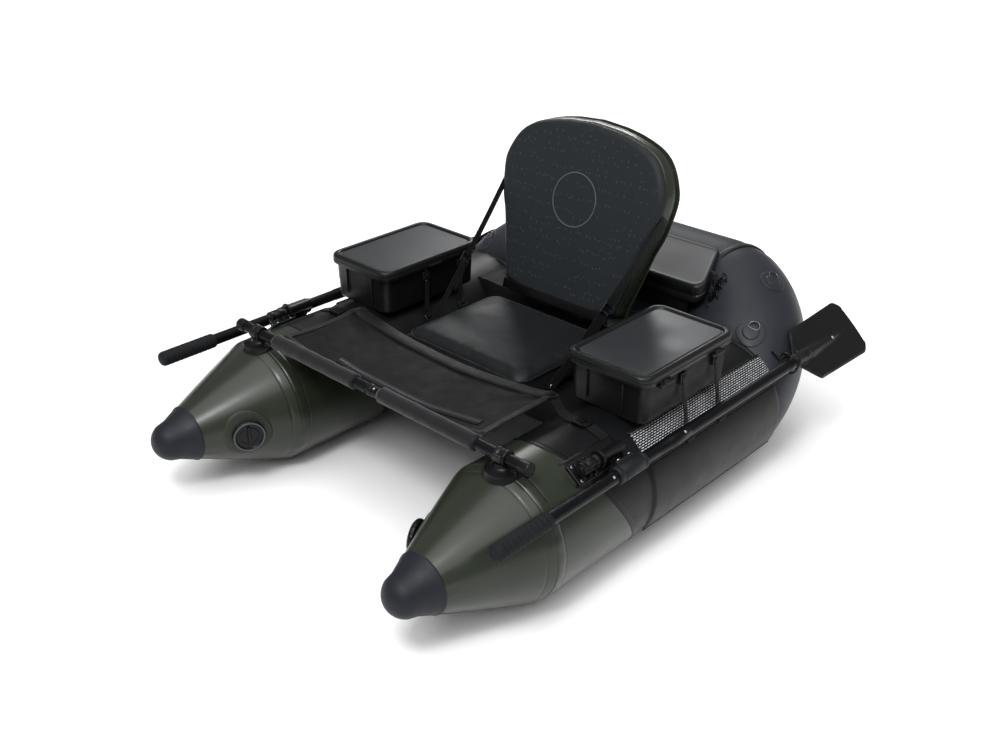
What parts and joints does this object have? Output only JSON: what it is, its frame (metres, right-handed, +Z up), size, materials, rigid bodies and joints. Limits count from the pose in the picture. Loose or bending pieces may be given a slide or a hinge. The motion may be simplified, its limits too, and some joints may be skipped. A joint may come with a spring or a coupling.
{
  "type": "inflatable fishing float boat",
  "caption": "U-shaped inflatable float boat with conical pontoons, folding backrest, apron on a crossbar, lidded side and rear boxes and stowed oars in swivelling oarlocks",
  "frame": {"origin": "middle of the footprint, on the ground", "axes": "+X to the right-hand pontoon, +Y to the stern, +Z up"},
  "size_m": [1.217, 1.5, 0.7796],
  "materials": {
    "olive_pvc": "satin",
    "black_pvc": "satin",
    "charcoal_pvc": "satin",
    "cap_rubber": "satin",
    "mesh": "matte",
    "nylon": "satin",
    "webbing": "matte",
    "hard_plastic": "satin",
    "bar_metal": "satin",
    "sleeve_foam": "matte",
    "tape_vinyl": "gloss",
    "seat_fabric": "matte",
    "pad_foam": "matte",
    "badge_vinyl": "satin",
    "box_plastic": "satin",
    "lid_plastic": "satin",
    "grey_plastic": "satin",
    "grip_foam": "matte",
    "blade_plastic": "satin",
    "steel": "satin",
    "patch_pvc": "satin"
  },
  "bodies": {
    "hull": {"bow_cone_left": "olive_pvc", "bow_cone_right": "olive_pvc", "bow_cap_left": "cap_rubber", "bow_cap_right": "cap_rubber", "side_tube_left": "black_pvc", "side_tube_right": "black_pvc", "stern_tube": "charcoal_pvc", "side_pocket_left": "mesh", "side_pocket_right": "mesh", "seat_deck": "nylon", "rear_deck": "nylon", "bow_valve_left": "hard_plastic", "bow_valve_right": "hard_plastic", "bar_saddle_left": "hard_plastic", "bar_saddle_right": "hard_plastic", "apron": "nylon", "measuring_tape": "tape_vinyl", "apron_straps": "webbing", "webbing_buckles": "hard_plastic", "seat_cushion": "seat_fabric", "strap_rivets": "steel", "strap_adjusters": "hard_plastic", "side_box_left": "box_plastic", "side_box_right": "box_plastic", "rear_box": "box_plastic", "box_straps": "webbing", "strap_hooks": "hard_plastic", "oarlock_base_left": "hard_plastic", "oarlock_base_right": "hard_plastic", "d_ring_patches": "patch_pvc", "d_rings": "steel", "backrest_strap_left": "webbing", "backrest_strap_right": "webbing"},
    "bar_left": {"crossbar_left": "bar_metal", "bar_cap_left": "hard_plastic", "bar_sleeve_left": "sleeve_foam"},
    "bar_right": {"crossbar_right": "bar_metal", "bar_cap_right": "hard_plastic", "bar_sleeve_right": "sleeve_foam"},
    "latch": {"bar_latch": "hard_plastic"},
    "backrest": {"backrest_body": "olive_pvc", "backrest_pad": "pad_foam", "backrest_badge": "badge_vinyl"},
    "lid_left": {"side_box_lid_left": "lid_plastic"},
    "lid_right": {"side_box_lid_right": "lid_plastic"},
    "rear_lid": {"rear_box_lid": "lid_plastic"},
    "valve_cap_left": {"bow_valve_cap_left": "hard_plastic"},
    "oarlock_left": {"oarlock_block_left": "hard_plastic"},
    "oar_swivel_left": {"oar_collar_left": "grey_plastic"},
    "oar_left": {"oar_shaft_left": "bar_metal", "oar_grip_left": "grip_foam", "oar_blade_left": "blade_plastic", "oar_button_left": "steel"},
    "valve_cap_right": {"bow_valve_cap_right": "hard_plastic"},
    "oarlock_right": {"oarlock_block_right": "hard_plastic"},
    "oar_swivel_right": {"oar_collar_right": "grey_plastic"},
    "oar_right": {"oar_shaft_right": "bar_metal", "oar_grip_right": "grip_foam", "oar_blade_right": "blade_plastic", "oar_button_right": "steel"}
  },
  "joints": [
    {"name": "crossbar_left_slide", "type": "slide", "parent": "hull", "child": "bar_left", "axis": [-1, 0, 0], "range_m": [0, 0.03]},
    {"name": "crossbar_right_slide", "type": "slide", "parent": "hull", "child": "bar_right", "axis": [1, 0, 0], "range_m": [0, 0.03]},
    {"name": "bar_latch_hinge", "type": "hinge", "parent": "hull", "child": "latch", "pos_m": [0.437, -0.438, 0.319], "axis": [0, 1, 0], "range_deg": [0, 25]},
    {"name": "backrest_fold", "type": "hinge", "parent": "hull", "child": "backrest", "pos_m": [0, 0.17, 0.333], "axis": [1, 0, 0], "range_deg": [0, 95], "deforming": ["backrest_strap_left", "backrest_strap_right", "strap_adjusters"]},
    {"name": "side_box_lid_left_hinge", "type": "hinge", "parent": "hull", "child": "lid_left", "pos_m": [-0.5161, 0.0375, 0.398], "axis": [0, -1, 0], "range_deg": [0, 110]},
    {"name": "side_box_lid_right_hinge", "type": "hinge", "parent": "hull", "child": "lid_right", "pos_m": [0.5161, 0.0375, 0.398], "axis": [0, 1, 0], "range_deg": [0, 110]},
    {"name": "rear_box_lid_hinge", "type": "hinge", "parent": "hull", "child": "rear_lid", "pos_m": [0, 0.545, 0.442], "axis": [-1, 0, 0], "range_deg": [0, 100]},
    {"name": "bow_valve_cap_left_turn", "type": "hinge", "parent": "hull", "child": "valve_cap_left", "pos_m": [-0.28992, -0.56731, 0.155], "axis": [0.923, -0.3849, 0], "continuous": true},
    {"name": "oarlock_left_lift", "type": "hinge", "parent": "hull", "child": "oarlock_left", "pos_m": [-0.50933, -0.3, 0.30548], "axis": [0, 1, 0], "range_deg": [0, 10]},
    {"name": "oar_left_swing", "type": "hinge", "parent": "oarlock_left", "child": "oar_swivel_left", "pos_m": [-0.55, -0.226, 0.279], "axis": [-0.7707, 0, 0.6371], "range_deg": [0, 10]},
    {"name": "oar_left_feather", "type": "hinge", "parent": "oar_swivel_left", "child": "oar_left", "pos_m": [-0.55, -0.226, 0.279], "axis": [0, -1, 0], "range_deg": [0, 45]},
    {"name": "bow_valve_cap_right_turn", "type": "hinge", "parent": "hull", "child": "valve_cap_right", "pos_m": [0.28992, -0.56731, 0.155], "axis": [-0.923, -0.3849, 0], "continuous": true},
    {"name": "oarlock_right_lift", "type": "hinge", "parent": "hull", "child": "oarlock_right", "pos_m": [0.50933, -0.3, 0.30548], "axis": [0, -1, 0], "range_deg": [0, 10]},
    {"name": "oar_right_swing", "type": "hinge", "parent": "oarlock_right", "child": "oar_swivel_right", "pos_m": [0.55, -0.226, 0.279], "axis": [-0.7707, 0, -0.6371], "range_deg": [0, 10]},
    {"name": "oar_right_feather", "type": "hinge", "parent": "oar_swivel_right", "child": "oar_right", "pos_m": [0.55, -0.226, 0.279], "axis": [0, 1, 0], "range_deg": [0, 45]}
  ]
}
